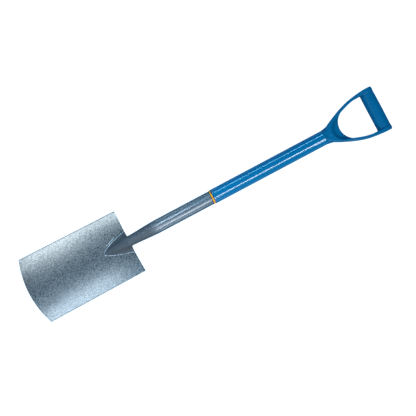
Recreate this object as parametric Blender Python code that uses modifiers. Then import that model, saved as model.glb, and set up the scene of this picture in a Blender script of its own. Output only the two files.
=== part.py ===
"""Border spade with a welded steel tube shaft and a moulded YD handle, lying on its back.

Metres, +Z up. +X runs along the shaft from the blade to the handle, and the spade is symmetric about Y = 0.
The origin is on the ground below the middle of the whole length. The blade's front face looks up.
"""

from math import cos, pi, radians, sin, sqrt, tan

import bmesh
import bpy
from mathutils import Matrix, Vector

MM = 0.001
GAP = 0.3 * MM

# Blade: a pressed sheet, dished across its width. Lengths run along the sheet from its top edge.
BLADE_WIDTH = 146.6 * MM
BLADE_SIDE_LENGTH = 227 * MM
BLADE_TIP_BOW = 13 * MM
BLADE_THICKNESS = 2 * MM
DISH_DEPTH = 11 * MM
LIFT = radians(15)

# Shaft: a steel tube, narrowed above the blade and opened out into a V foot on the blade.
SHAFT_HEIGHT = 17 * MM
TUBE_RADIUS = 15.2 * MM
TUBE_WALL = 1.5 * MM
TAPER_LENGTH = 74 * MM
NECK_HALF_WIDTH = 11.95 * MM
NECK_TOP = 29 * MM
NECK_BOTTOM = 3.4 * MM
FOOT_LENGTH = 59 * MM
FOOT_HALF_WIDTH = 24.9 * MM
FOOT_SHEET = 1.8 * MM
FOOT_POINT_POWER = 0.6
FOOT_WELD_RADIUS = 1.5 * MM
HEEL_WELD_RADIUS = 1.2 * MM
HEEL_WELD_HALF_LENGTH = 8 * MM

# Sleeve, ring and handle, measured along the shaft from the blade's top edge.
RING_CENTRE = 205.7 * MM
RING_WIDTH = 3.2 * MM
RING_RADIUS = 15.9 * MM
SLEEVE_RADIUS = 16.25 * MM
SHOULDER = 483 * MM
RIVET_BELOW_SHOULDER = 36 * MM
RIVET_SHANK_RADIUS = 2.4 * MM
RIVET_SHANK_END = 8 * MM
RIVET_HEAD_RADIUS = 4 * MM
RIVET_HEAD_HEIGHT = 1.1 * MM
RIVET_RIM = 0.3 * MM

# Handle: measured from its shoulder, where the sleeve ends.
HANDLE_LENGTH = 142.4 * MM
GRIP_CENTRE = 125.5 * MM
GRIP_HALF_DEPTH = 15 * MM
ARM_HALF_DEPTH = 17 * MM
CROTCH_HALF_DEPTH = 13.7 * MM
CROTCH_STEP = 1.5 * MM
CROTCH_END = 38 * MM
ARM_DEPTH_START = 88 * MM
HANDLE_HALF_WIDTH = 51.9 * MM
HANDLE_CORNER = 3 * MM
OUTLINE_SPARE = 30 * MM
SPIGOT_LENGTH = 60 * MM
SPIGOT_BORE_RADIUS = 10 * MM
SPIGOT_END_WALL = 4 * MM
GATE_MARK = 13 * MM
GATE_MARK_RADIUS = 2.2 * MM
GATE_MARK_HEIGHT = 0.4 * MM
# Points on the outer edge of an arm: distance from the shoulder, half width.
ARM_EDGE = ((3.5, 8), (16, 19), (38.6, 30.3), (65, 41), (91, 48.3), (118, 51.9))
# Radius of the turned neck at distances from the shoulder, where it flares out into the crotch.
NECK_FLARE = ((0, 16.25), (2, 16.8), (6, 17.4), (10, 18.2), (14, 19.2), (18, 20.6), (24, 22.8), (30, 25))
# Inside edge of an arm, past the round crotch, up to the grip: distance from the shoulder, half width.
OPENING_SIDE = ((62.8, 33.9), (75.7, 38.2), (88.7, 41.1), (102, 42.4), (125.5, 42.8))
# The crotch's edge is one arc at the middle of the thickness and a tighter one on the flat faces.
CROTCH_WAIST = {"bottom": 38.8 * MM, "radius": 35.5 * MM, "half_turn": radians(62)}
CROTCH_FACE = {"bottom": 19.1 * MM, "radius": 26 * MM, "half_turn": radians(68)}

BLADE_REACH = (BLADE_SIDE_LENGTH + BLADE_TIP_BOW) * cos(LIFT) + BLADE_THICKNESS * sin(LIFT)
HEEL_X = (BLADE_REACH - SHOULDER - HANDLE_LENGTH) / 2
HEEL_Z = BLADE_THICKNESS * cos(LIFT)
SHOULDER_X = HEEL_X + SHOULDER
ROUND_STEPS = 48
RIVET_STEPS = 24

STEEL_GREY = (0.165, 0.21, 0.25, 1)
SLEEVE_BLUE = (0.0015, 0.155, 0.38, 1)
HANDLE_BLUE = (0.0015, 0.12, 0.33, 1)
RING_ORANGE = (1.0, 0.35, 0.0, 1)
RIVET_GREY = (0.55, 0.56, 0.57, 1)


# Scene, materials and small helpers

def clear_scene():
    for obj in list(bpy.data.objects):
        bpy.data.objects.remove(obj, do_unlink=True)


def new_collection(name):
    collection = bpy.data.collections.new(name)
    bpy.context.scene.collection.children.link(collection)
    return collection


def make_material(name, colour, roughness, metallic):
    material = bpy.data.materials.new(name)
    material.use_nodes = True
    shader = material.node_tree.nodes["Principled BSDF"]
    shader.inputs["Base Color"].default_value = colour
    shader.inputs["Roughness"].default_value = roughness
    shader.inputs["Metallic"].default_value = metallic
    material.diffuse_color = colour
    return material


def new_object(name, data, collection, material=None):
    obj = bpy.data.objects.new(name, data)
    collection.objects.link(obj)
    if material:
        data.materials.append(material)
    return obj


def hide_cutter(obj):
    obj.hide_render = True
    obj.display_type = "WIRE"


def mesh_from_bmesh(name, bm):
    mesh = bpy.data.meshes.new(name)
    bm.to_mesh(mesh)
    bm.free()
    return mesh


def smooth(mesh, degrees=30):
    mesh.shade_smooth()
    mesh.set_sharp_from_angle(angle=radians(degrees))


def mesh_from_curve(obj):
    """Replaces a curve object by a mesh object of the same name, with its caps welded on."""
    bpy.context.view_layer.update()
    graph = bpy.context.evaluated_depsgraph_get()
    mesh = bpy.data.meshes.new_from_object(obj.evaluated_get(graph))
    bm = bmesh.new()
    bm.from_mesh(mesh)
    bmesh.ops.remove_doubles(bm, verts=bm.verts, dist=0.0001 * MM)
    bm.to_mesh(mesh)
    bm.free()
    solid = bpy.data.objects.new(obj.name, mesh)
    for collection in obj.users_collection:
        collection.objects.link(solid)
    solid.matrix_world = obj.matrix_world.copy()
    name = obj.name
    bpy.data.objects.remove(obj, do_unlink=True)
    solid.name = name
    return solid


def smooth_line(points, steps):
    """Points of a smooth line through the given (x, y) points, with that many steps between each two."""
    points = [Vector(point) for point in points]
    ends = [2 * points[0] - points[1]] + points + [2 * points[-1] - points[-2]]
    line = []
    for before, start, end, after in zip(ends, ends[1:], ends[2:], ends[3:]):
        for i in range(steps):
            t = i / steps
            bend = (end - before) * t + (2 * before - 5 * start + 4 * end - after) * t**2
            line.append(start + (bend + (3 * start - before - 3 * end + after) * t**3) / 2)
    return line + [points[-1]]


def add_boolean(obj, operation, other):
    modifier = obj.modifiers.new(operation.lower(), "BOOLEAN")
    modifier.operation = operation
    modifier.object = other
    hide_cutter(other)


def blend(start, end, share):
    """A smooth step from start to end as share goes from 0 to 1."""
    share = min(max(share, 0), 1)
    return start + (end - start) * share * share * (3 - 2 * share)


def turned(name, profile, collection, material=None, steps=ROUND_STEPS):
    """A solid of revolution about the shaft: profile is a closed loop of (distance along +X, radius)."""
    bm = bmesh.new()
    verts = [bm.verts.new((radius, 0, along)) for along, radius in profile]
    for first, second in zip(verts, verts[1:] + verts[:1]):
        bm.edges.new((first, second))
    obj = new_object(name, mesh_from_bmesh(name, bm), collection, material)
    screw = obj.modifiers.new("turn", "SCREW")
    screw.axis = "Z"
    screw.steps = steps
    screw.render_steps = steps
    screw.use_merge_vertices = True
    screw.merge_threshold = 0.00001
    screw.use_smooth_shade = True
    obj.rotation_euler = (0, pi / 2, 0)
    obj.location = (0, 0, SHAFT_HEIGHT)
    return obj


def pipe_profile(start, end, inner, outer):
    """The closed profile of a pipe, down its outer side from its far end."""
    return [(end, outer), (start, outer), (start, inner), (end, inner)]


def loft(name, rings, collection, material=None):
    """A closed solid through rings of the same number of points, with flat ends."""
    bm = bmesh.new()
    rows = [[bm.verts.new(point) for point in ring] for ring in rings]
    for row, after in zip(rows, rows[1:]):
        for i in range(len(row)):
            j = (i + 1) % len(row)
            bm.faces.new((row[i], row[j], after[j], after[i]))
    bm.faces.new(rows[0])
    bm.faces.new(rows[-1])
    bmesh.ops.recalc_face_normals(bm, faces=bm.faces)
    mesh = mesh_from_bmesh(name, bm)
    smooth(mesh)
    return new_object(name, mesh, collection, material)


def flat_outline(name, points, half_thickness, collection):
    """A solid cut from a plate: a closed 2D curve in local X and Y, filled and extruded along local Z.

    Each point is (x, y, handle), where handle is VECTOR at a corner and AUTO where the outline is round.
    """
    curve = bpy.data.curves.new(name, "CURVE")
    curve.dimensions = "2D"
    curve.fill_mode = "BOTH"
    curve.extrude = half_thickness
    curve.resolution_u = 6
    spline = curve.splines.new("BEZIER")
    spline.bezier_points.add(len(points) - 1)
    for point, (x, y, handle) in zip(spline.bezier_points, points):
        point.co = (x, y, 0)
        point.handle_left_type = handle
        point.handle_right_type = handle
    spline.use_cyclic_u = True
    return mesh_from_curve(new_object(name, curve, collection))


# Blade

def dish_rise(y):
    """How far the dished sheet stands above its middle, y from the centre line."""
    half = BLADE_WIDTH / 2
    radius = (half**2 + DISH_DEPTH**2) / (2 * DISH_DEPTH)
    return radius - sqrt(radius**2 - y**2)


def tip_reach(y):
    """The sheet's length at y, from the top edge to the curved cutting edge."""
    half = BLADE_WIDTH / 2
    radius = (half**2 + BLADE_TIP_BOW**2) / (2 * BLADE_TIP_BOW)
    return BLADE_SIDE_LENGTH + sqrt(radius**2 - y**2) - (radius - BLADE_TIP_BOW)


def on_blade(down, y, above=0.0):
    """The point of the front face at a distance down the sheet and y across, or that far above it."""
    rise = dish_rise(y) + above
    x = HEEL_X - down * cos(LIFT) + rise * sin(LIFT)
    return Vector((x, y, HEEL_Z + down * sin(LIFT) + rise * cos(LIFT)))


def blade_height(x, y):
    """The front face's height right above or below a point of the ground."""
    return HEEL_Z + (HEEL_X - x) * tan(LIFT) + dish_rise(y) / cos(LIFT)


def sheet(name, columns, rows, place, thickness, collection, material=None):
    """A curved sheet: a flat grid whose points go where place(share down, share across) says."""
    bm = bmesh.new()
    bmesh.ops.create_grid(bm, x_segments=rows, y_segments=columns, size=1)
    for vert in bm.verts:
        vert.co = place((vert.co.x + 1) / 2, vert.co.y)
    bmesh.ops.recalc_face_normals(bm, faces=bm.faces)
    middle = max(bm.faces, key=lambda face: face.calc_area())
    if middle.normal.z < 0:
        bmesh.ops.reverse_faces(bm, faces=bm.faces)
    mesh = mesh_from_bmesh(name, bm)
    smooth(mesh)
    obj = new_object(name, mesh, collection, material)
    solidify = obj.modifiers.new("sheet", "SOLIDIFY")
    solidify.thickness = thickness
    solidify.offset = -1
    return obj


def make_blade(collection, material):
    def place(share, across):
        y = across * BLADE_WIDTH / 2
        return on_blade(share * tip_reach(y), y)

    return sheet("blade", 20, 12, place, BLADE_THICKNESS, collection, material)


# Shaft tube with its V foot

def neck_ring(x, shrink=0.0, count=32):
    """The tube's section at x: a circle along the shaft, narrowing to an upright oval at the blade."""
    share = (x - HEEL_X) / TAPER_LENGTH
    middle = (NECK_TOP + NECK_BOTTOM) / 2
    half_width = blend(NECK_HALF_WIDTH, TUBE_RADIUS, share) - shrink
    half_height = blend(NECK_TOP - middle, TUBE_RADIUS, share) - shrink
    centre = blend(middle, SHAFT_HEIGHT, share)
    angles = [2 * pi * i / count for i in range(count)]
    return [(x, half_width * sin(a), centre + half_height * cos(a)) for a in angles]


def neck_stations(first, last, steps=10):
    """Distances along X from the blade's top edge up the shaft, close together in the taper."""
    taper = [HEEL_X + TAPER_LENGTH * i / steps for i in range(1, steps + 1)]
    return [first] + taper + [last]


def foot_half_width(share):
    """Half the width of the V foot at a share of its length."""
    return FOOT_HALF_WIDTH * (1 - share) ** FOOT_POINT_POWER


def foot_ring(share, sheet_in=0.0, side_in=0.0, count=12):
    """The foot's section: a ridge with hollowed flanks that run out flat on the blade, and a deep base."""
    x = HEEL_X - FOOT_LENGTH * share
    half = foot_half_width(share) - side_in
    edge = blade_height(x, half) + FOOT_SHEET - sheet_in
    end_top = blade_height(HEEL_X - FOOT_LENGTH, 0) + FOOT_SHEET
    top = NECK_TOP + (end_top - NECK_TOP) * share - sheet_in
    brow, hollow = 0.65 * half, 0.29 * half
    side = []
    for i in range(count + 1):
        t = i / count
        y = 3 * (1 - t) ** 2 * t * brow + 3 * (1 - t) * t**2 * hollow + t**3 * half
        z = top + (edge - top) * t * t * (3 - 2 * t)
        side.append((x, y, z))
    base = blade_height(x, 0) - 6 * MM - sheet_in
    left = side + [(x, half, base)]
    right = [(x, -y, z) for x, y, z in reversed(left[1:])]
    return left + right


def make_foot_outside(cutters):
    point_end = 0.985
    steps = 14
    shares = [point_end * sin(i / steps * pi / 2) for i in range(steps + 1)]
    return loft("foot_outside", [foot_ring(share) for share in shares], cutters)


def make_foot_hollow(cutters):
    start = FOOT_SHEET / FOOT_LENGTH
    end = 0.9
    edge_wall = 2.4 * MM
    steps = 10
    shares = [start + (end - start) * i / steps for i in range(steps + 1)]
    return loft("foot_hollow", [foot_ring(share, FOOT_SHEET, edge_wall) for share in shares], cutters)


def make_foot_seat(cutters):
    """A cutter that follows the blade's front face, so that the foot ends just above it."""
    beyond = 6 * MM
    depth = 16 * MM

    def place(share, across):
        length = FOOT_LENGTH / cos(LIFT) + 2 * beyond
        return on_blade(share * length - beyond, across * (FOOT_HALF_WIDTH + beyond), GAP)

    return sheet("foot_seat", 8, 6, place, depth, cutters)


def make_shaft_tube(collection, cutters, material):
    end = SHOULDER_X - GAP
    beyond = 3 * MM
    outer = [neck_ring(HEEL_X - beyond, TUBE_WALL)] + [neck_ring(x) for x in neck_stations(HEEL_X, end)]
    tube = loft("shaft_tube", outer, collection, material)
    add_boolean(tube, "UNION", make_foot_outside(cutters))
    bore = [neck_ring(x, TUBE_WALL) for x in neck_stations(HEEL_X - 2 * beyond, end + beyond)]
    add_boolean(tube, "DIFFERENCE", loft("tube_bore", bore, cutters))
    add_boolean(tube, "DIFFERENCE", make_foot_hollow(cutters))
    add_boolean(tube, "DIFFERENCE", make_foot_seat(cutters))
    add_boolean(tube, "DIFFERENCE", rivet_hole("tube_hole", RIVET_SHANK_RADIUS + GAP, cutters))
    return tube


# Welds

def weld_bead(name, points, radius, collection, material):
    """A lumpy bead through points, thinner at both ends."""
    curve = bpy.data.curves.new(name, "CURVE")
    curve.dimensions = "3D"
    curve.bevel_depth = radius
    curve.bevel_resolution = 2
    curve.use_fill_caps = True
    spline = curve.splines.new("POLY")
    spline.points.add(len(points) - 1)
    last = len(points) - 1
    for i, (point, place) in enumerate(zip(spline.points, points)):
        point.co = (*place, 1)
        ripple = 0.9 + 0.1 * sin(2.4 * i)
        end = min(1.0, 0.55 + 0.2 * min(i, last - i))
        point.radius = ripple * end
    return new_object(name, curve, collection, material)


def make_foot_weld(name, side, collection, material):
    """The bead along one edge of the V foot, side is +1 or -1 along Y."""
    start, end = 0.02, 0.95
    steps = 21
    clear = GAP + FOOT_WELD_RADIUS
    points = []
    for i in range(steps + 1):
        share = start + (end - start) * i / steps
        slope = FOOT_HALF_WIDTH * FOOT_POINT_POWER * (1 - share) ** (FOOT_POINT_POWER - 1) / FOOT_LENGTH
        square = 1 / sqrt(1 + slope**2)
        x = HEEL_X - FOOT_LENGTH * share - clear * slope * square
        y = foot_half_width(share) + clear * square
        points.append((x, side * y, blade_height(x, y) + clear / cos(LIFT)))
    return weld_bead(name, points, FOOT_WELD_RADIUS, collection, material)


def make_heel_weld(collection, material):
    steps = 10
    points = []
    for i in range(steps + 1):
        y = HEEL_WELD_HALF_LENGTH * (2 * i / steps - 1)
        height = GAP + HEEL_WELD_RADIUS + dish_rise(y)
        points.append((HEEL_X + GAP + HEEL_WELD_RADIUS, y, height))
    return weld_bead("heel_weld", points, HEEL_WELD_RADIUS, collection, material)


# Ring, sleeve and rivet

def make_ring(collection, material):
    start = HEEL_X + RING_CENTRE - RING_WIDTH / 2
    profile = pipe_profile(start, start + RING_WIDTH, TUBE_RADIUS + GAP, RING_RADIUS)
    return turned("ring_band", profile, collection, material)


def rivet_place():
    return SHOULDER_X - RIVET_BELOW_SHOULDER


def rivet_hole(name, radius, cutters):
    """A cutter for a hole through the back of the shaft, at the rivet."""
    bm = bmesh.new()
    depth = SLEEVE_RADIUS + 4 * MM
    bmesh.ops.create_cone(
        bm, cap_ends=True, segments=RIVET_STEPS, radius1=radius, radius2=radius, depth=depth
    )
    obj = new_object(name, mesh_from_bmesh(name, bm), cutters)
    obj.location = (rivet_place(), 0, SHAFT_HEIGHT - depth / 2)
    return obj


def make_sleeve(collection, cutters, material):
    start = HEEL_X + RING_CENTRE + RING_WIDTH / 2 + GAP
    profile = pipe_profile(start, SHOULDER_X - GAP, TUBE_RADIUS + GAP, SLEEVE_RADIUS)
    sleeve = turned("shaft_sleeve", profile, collection, material)
    add_boolean(sleeve, "DIFFERENCE", rivet_hole("sleeve_hole", RIVET_HEAD_RADIUS + GAP, cutters))
    return sleeve


def make_rivet(collection, material):
    """A domed rivet set from the back: its head bears on the tube and its shank ends in the spigot."""
    head_under = TUBE_RADIUS + GAP
    dome_steps = 4
    dome = RIVET_HEAD_HEIGHT - RIVET_RIM
    profile = [(RIVET_SHANK_END, 0), (RIVET_SHANK_END, RIVET_SHANK_RADIUS), (head_under, RIVET_SHANK_RADIUS)]
    profile.append((head_under, RIVET_HEAD_RADIUS))
    for i in range(dome_steps + 1):
        angle = i / dome_steps * pi / 2
        profile.append((head_under + RIVET_RIM + dome * sin(angle), RIVET_HEAD_RADIUS * cos(angle)))
    profile[-1] = (head_under + RIVET_HEAD_HEIGHT, 0)
    rivet = turned("handle_rivet", profile[::-1], collection, material, RIVET_STEPS)
    rivet.rotation_euler = (pi, 0, 0)
    rivet.location = (rivet_place(), 0, SHAFT_HEIGHT)
    return rivet


# Handle

def handle_outline():
    """The front outline of the handle's arms and crotch, as (x, y, handle) points all the way round."""
    corner_steps = 4
    side = [(x * MM, y * MM, "AUTO") for x, y in ARM_EDGE]
    for i in range(corner_steps + 1):
        angle = i / corner_steps * pi / 2
        x = HANDLE_LENGTH - HANDLE_CORNER * (1 - sin(angle))
        y = HANDLE_HALF_WIDTH - HANDLE_CORNER * (1 - cos(angle))
        side.append((x, y, "VECTOR"))
    other = [(x, -y, handle) for x, y, handle in reversed(side)]
    return side + other


def side_outline():
    """The handle's side view: a deep neck, a step to the flat crotch, deepening arms and a round end."""
    spare = 5 * MM
    deep = SLEEVE_RADIUS + spare
    reach = HANDLE_LENGTH - GRIP_CENTRE
    end_steps = 8
    corners = [(-SPIGOT_LENGTH - spare, deep), (CROTCH_STEP, deep), (CROTCH_STEP, CROTCH_HALF_DEPTH)]
    corners += [(CROTCH_END, CROTCH_HALF_DEPTH), (ARM_DEPTH_START, ARM_HALF_DEPTH)]
    for i in range(end_steps + 1):
        angle = i / end_steps * pi / 2
        corners.append((GRIP_CENTRE + reach * sin(angle), ARM_HALF_DEPTH * cos(angle)))
    upper = [(x, z, "VECTOR") for x, z in corners]
    lower = [(x, -z, handle) for x, z, handle in reversed(upper[:-1])]
    return upper + lower


def opening_ring(height):
    """The gap between the arms at a height from the middle plane; the grip closes its far end."""
    level = min(abs(height) / CROTCH_HALF_DEPTH, 1)
    share = 1 - sqrt(1 - level**2)
    bottom = CROTCH_WAIST["bottom"] + (CROTCH_FACE["bottom"] - CROTCH_WAIST["bottom"]) * share
    radius = CROTCH_WAIST["radius"] + (CROTCH_FACE["radius"] - CROTCH_WAIST["radius"]) * share
    half_turn = CROTCH_WAIST["half_turn"] + (CROTCH_FACE["half_turn"] - CROTCH_WAIST["half_turn"]) * share
    steps = 12
    arc = []
    for i in range(-steps, steps + 1):
        angle = half_turn * i / steps
        arc.append((bottom + radius * (1 - cos(angle)), radius * sin(angle)))
    side = [(x * MM, y * MM) for x, y in smooth_line(OPENING_SIDE, 4)]
    side.append((HANDLE_LENGTH + OUTLINE_SPARE, side[-1][1]))
    other = [(x, -y) for x, y in reversed(side)]
    return [(SHOULDER_X + x, y, SHAFT_HEIGHT + height) for x, y in arc + side + other]


def move_to_shoulder(obj):
    obj.location = (SHOULDER_X, 0, SHAFT_HEIGHT)
    return obj


def make_neck(name, collection, material):
    """The turned part of the handle: the flared neck and the hollow spigot below the shoulder."""
    spigot = TUBE_RADIUS - TUBE_WALL - GAP
    profile = [(SHOULDER_X + x * MM, radius * MM) for x, radius in reversed(NECK_FLARE)]
    profile += [(SHOULDER_X, spigot), (SHOULDER_X - SPIGOT_LENGTH, spigot)]
    bore_end = SHOULDER_X - SPIGOT_END_WALL
    profile += [(SHOULDER_X - SPIGOT_LENGTH, SPIGOT_BORE_RADIUS), (bore_end, SPIGOT_BORE_RADIUS)]
    profile += [(bore_end, 0), (SHOULDER_X + NECK_FLARE[-1][0] * MM, 0)]
    return turned(name, profile, collection, material)


def make_grip(cutters):
    bm = bmesh.new()
    length = 2 * (HANDLE_HALF_WIDTH - HANDLE_CORNER)
    bmesh.ops.create_cone(bm, cap_ends=True, segments=40, radius1=1, radius2=1, depth=length)
    half_width = HANDLE_LENGTH - GRIP_CENTRE
    bmesh.ops.scale(bm, vec=(half_width, GRIP_HALF_DEPTH, 1), verts=bm.verts)
    bmesh.ops.rotate(bm, cent=(0, 0, 0), matrix=Matrix.Rotation(pi / 2, 3, "X"), verts=bm.verts)
    grip = new_object("grip_bar", mesh_from_bmesh("grip_bar", bm), cutters)
    grip.location = (SHOULDER_X + GRIP_CENTRE, 0, SHAFT_HEIGHT)
    return grip


def make_gate_mark(cutters):
    """The small round mark that moulding leaves on the front of the crotch."""
    bm = bmesh.new()
    bmesh.ops.create_cone(
        bm,
        cap_ends=True,
        segments=RIVET_STEPS,
        radius1=GATE_MARK_RADIUS,
        radius2=GATE_MARK_RADIUS * 0.8,
        depth=2 * GATE_MARK_HEIGHT,
    )
    mark = new_object("gate_mark", mesh_from_bmesh("gate_mark", bm), cutters)
    mark.location = (SHOULDER_X + GATE_MARK, 0, SHAFT_HEIGHT + CROTCH_HALF_DEPTH)
    return mark


def make_handle(collection, cutters, material):
    yoke = make_neck("handle_yoke", collection, material)
    front = move_to_shoulder(flat_outline("front_outline", handle_outline(), OUTLINE_SPARE, cutters))
    add_boolean(yoke, "UNION", front)
    side = move_to_shoulder(flat_outline("side_outline", side_outline(), 2 * OUTLINE_SPARE, cutters))
    side.rotation_euler = (pi / 2, 0, 0)
    add_boolean(yoke, "INTERSECT", side)
    steps = 6
    levels = [CROTCH_HALF_DEPTH * sin(i / steps * pi / 2) for i in range(-steps, steps + 1)]
    levels = [-OUTLINE_SPARE] + levels + [OUTLINE_SPARE]
    opening = loft("hand_opening", [opening_ring(level) for level in levels], cutters)
    add_boolean(yoke, "DIFFERENCE", opening)
    add_boolean(yoke, "UNION", make_grip(cutters))
    add_boolean(yoke, "UNION", make_gate_mark(cutters))
    add_boolean(yoke, "DIFFERENCE", rivet_hole("spigot_hole", RIVET_SHANK_RADIUS + GAP, cutters))
    return yoke


def build():
    clear_scene()
    spade = new_collection("border_spade")
    cutters = new_collection("cutters")
    hammer = make_material("hammer_finish", STEEL_GREY, 0.35, 0.6)
    sleeve_blue = make_material("sleeve_plastic", SLEEVE_BLUE, 0.2, 0.0)
    handle_blue = make_material("handle_plastic", HANDLE_BLUE, 0.45, 0.0)
    ring_orange = make_material("ring_plastic", RING_ORANGE, 0.4, 0.0)
    rivet_metal = make_material("rivet_metal", RIVET_GREY, 0.35, 1.0)
    weld_metal = make_material("weld_finish", STEEL_GREY, 0.3, 0.6)

    make_blade(spade, hammer)
    make_shaft_tube(spade, cutters, hammer)
    make_foot_weld("foot_weld_left", 1, spade, weld_metal)
    make_foot_weld("foot_weld_right", -1, spade, weld_metal)
    make_heel_weld(spade, weld_metal)
    make_ring(spade, ring_orange)
    make_sleeve(spade, cutters, sleeve_blue)
    make_handle(spade, cutters, handle_blue)
    make_rivet(spade, rivet_metal)


build()
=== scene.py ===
"""Looks of a border spade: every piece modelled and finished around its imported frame.

Metres, +Z up. +X runs along the shaft from the blade to the handle and the spade lies on its back,
symmetric about Y = 0. Each piece is modelled in place, so its object stays at the origin.
"""

import logging
import math
import random
from dataclasses import dataclass
from enum import Enum
from typing import Callable, Sequence

import bmesh
import bpy
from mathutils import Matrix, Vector


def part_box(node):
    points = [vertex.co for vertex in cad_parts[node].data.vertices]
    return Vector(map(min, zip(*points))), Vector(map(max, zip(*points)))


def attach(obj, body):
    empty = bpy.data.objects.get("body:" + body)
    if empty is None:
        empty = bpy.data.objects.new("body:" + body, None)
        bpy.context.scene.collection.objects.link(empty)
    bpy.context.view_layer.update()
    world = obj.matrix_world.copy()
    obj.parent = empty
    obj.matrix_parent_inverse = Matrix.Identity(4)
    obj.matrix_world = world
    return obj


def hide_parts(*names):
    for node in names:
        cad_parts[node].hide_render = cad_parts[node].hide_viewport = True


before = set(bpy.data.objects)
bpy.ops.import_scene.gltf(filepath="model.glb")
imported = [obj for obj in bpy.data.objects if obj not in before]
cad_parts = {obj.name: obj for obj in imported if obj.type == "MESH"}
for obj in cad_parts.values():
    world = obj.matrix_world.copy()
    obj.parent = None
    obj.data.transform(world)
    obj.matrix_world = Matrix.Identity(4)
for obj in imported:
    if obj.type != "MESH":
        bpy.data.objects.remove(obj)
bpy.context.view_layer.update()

MM = 0.001
SAME_PLACE = 0.0001 * MM
LOG = logging.getLogger("border_spade")

Ring = Sequence[Vector]
Points = Sequence[tuple[float, float]]
Colour = tuple[float, float, float, float]
Glow = tuple[float, float, float]


class Joining(Enum):
    """How one solid is combined with another."""

    ADD = "UNION"
    CUT = "DIFFERENCE"
    SHARED = "INTERSECT"


class Side(Enum):
    """A side of the spade, seen from above with the handle to the right: LEFT is +Y."""

    LEFT = 1
    RIGHT = -1


# The bench: the modelling steps that the pieces share


def pick(piece: bpy.types.Object) -> None:
    """Leaves a piece alone selected and active, in object mode.

    Args:
        piece: The piece to work on.
    """
    clear_selection()
    piece.select_set(True)
    bpy.context.view_layer.objects.active = piece


def clear_selection() -> None:
    """Goes to object mode and selects nothing."""
    if bpy.context.object is not None and bpy.context.object.mode != "OBJECT":
        bpy.ops.object.mode_set(mode="OBJECT")
    bpy.ops.object.select_all(action="DESELECT")


def apply_modifier(piece: bpy.types.Object, kind: str, **settings: object) -> None:
    """Adds a modifier with its settings and applies it.

    Args:
        piece: The piece that it shapes.
        kind: Blender's name of the modifier's type.
        **settings: The modifier's properties.
    """
    modifier = piece.modifiers.new(kind.lower(), kind)
    for name, value in settings.items():
        setattr(modifier, name, value)
    pick(piece)
    bpy.ops.object.modifier_apply(modifier=modifier.name)


def combine(piece: bpy.types.Object, other: bpy.types.Object, joining: Joining) -> None:
    """Joins, cuts or intersects a piece with another solid, which is used up.

    Args:
        piece: The piece that stays.
        other: The solid that it is combined with.
        joining: How they are combined.
    """
    apply_modifier(piece, "BOOLEAN", operation=joining.value, object=other, solver="EXACT")
    bpy.data.objects.remove(other, do_unlink=True)


def melt(piece: bpy.types.Object, voxel: float, rounds: int) -> None:
    """Runs overlapping shells together into one skin with soft edges, as paint or a mould leaves them.

    Args:
        piece: The piece to melt together.
        voxel: The size of the steps that the skin is made in.
        rounds: How many times the skin is smoothed.
    """
    apply_modifier(piece, "REMESH", mode="VOXEL", voxel_size=voxel, use_smooth_shade=True)
    apply_modifier(piece, "SMOOTH", factor=0.5, iterations=rounds)


def soften(piece: bpy.types.Object, degrees: float) -> None:
    """Shades a piece smooth but for its edges sharper than an angle.

    Args:
        piece: The piece to shade.
        degrees: The angle from which an edge stays sharp.
    """
    pick(piece)
    bpy.ops.object.shade_smooth_by_angle(angle=math.radians(degrees))


def take_up(name: str) -> bpy.types.Object:
    """Names the mesh that an operator has just added.

    Args:
        name: The object's and its mesh's name.

    Returns:
        The object.
    """
    piece = bpy.context.object
    piece.name = piece.data.name = name
    return piece


def choose(piece: bpy.types.Object, test: Callable[[bmesh.types.BMVert], bool]) -> None:
    """Selects the vertices that pass a test, and no others.

    Args:
        piece: The piece in edit mode.
        test: Says whether a vertex is wanted.
    """
    mesh = bmesh.from_edit_mesh(piece.data)
    for vert in mesh.verts:
        vert.select_set(test(vert))
    mesh.select_flush(True)
    bmesh.update_edit_mesh(piece.data)


def place_selected(piece: bpy.types.Object, ring: Ring) -> None:
    """Moves the selected vertices of a piece in edit mode to a ring's points, each by its own number.

    Args:
        piece: The piece in edit mode.
        ring: The points, in the order of the section's vertices.
    """
    mesh = bmesh.from_edit_mesh(piece.data)
    order = mesh.verts.layers.int["order"]
    for vert in mesh.verts:
        if vert.select:
            vert.co = ring[vert[order]]
    bmesh.update_edit_mesh(piece.data)


def start_section(name: str, ring: Ring, fill: str) -> bpy.types.Object:
    """Adds a circle, numbers its vertices, moves them to a section's points and stays in edit mode.

    Args:
        name: The new object's name.
        ring: The section's points.
        fill: NGON for a closed face, NOTHING for an open outline.

    Returns:
        The new object, in edit mode with all of it selected.
    """
    clear_selection()
    bpy.ops.mesh.primitive_circle_add(vertices=len(ring), radius=0.01, fill_type=fill)
    piece = take_up(name)
    bpy.ops.object.mode_set(mode="EDIT")
    mesh = bmesh.from_edit_mesh(piece.data)
    order = mesh.verts.layers.int.new("order")
    for number, vert in enumerate(mesh.verts):
        vert[order] = number
    place_selected(piece, ring)
    return piece


def face_outwards() -> None:
    """Turns every face of the mesh in edit mode outwards and goes back to object mode."""
    bpy.ops.mesh.select_all(action="SELECT")
    bpy.ops.mesh.remove_doubles(threshold=SAME_PLACE)
    bpy.ops.mesh.normals_make_consistent(inside=False)
    bpy.ops.object.mode_set(mode="OBJECT")


def loft(name: str, rings: Sequence[Ring]) -> bpy.types.Object:
    """Draws a closed section out through a row of rings, extruding it and reshaping each new end.

    Args:
        name: The new object's name.
        rings: Rings of the same number of points.

    Returns:
        The closed solid.
    """
    piece = start_section(name, rings[0], "NGON")
    for ring in rings[1:]:
        bpy.ops.mesh.extrude_region_move()
        place_selected(piece, ring)
    face_outwards()
    return piece


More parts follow.
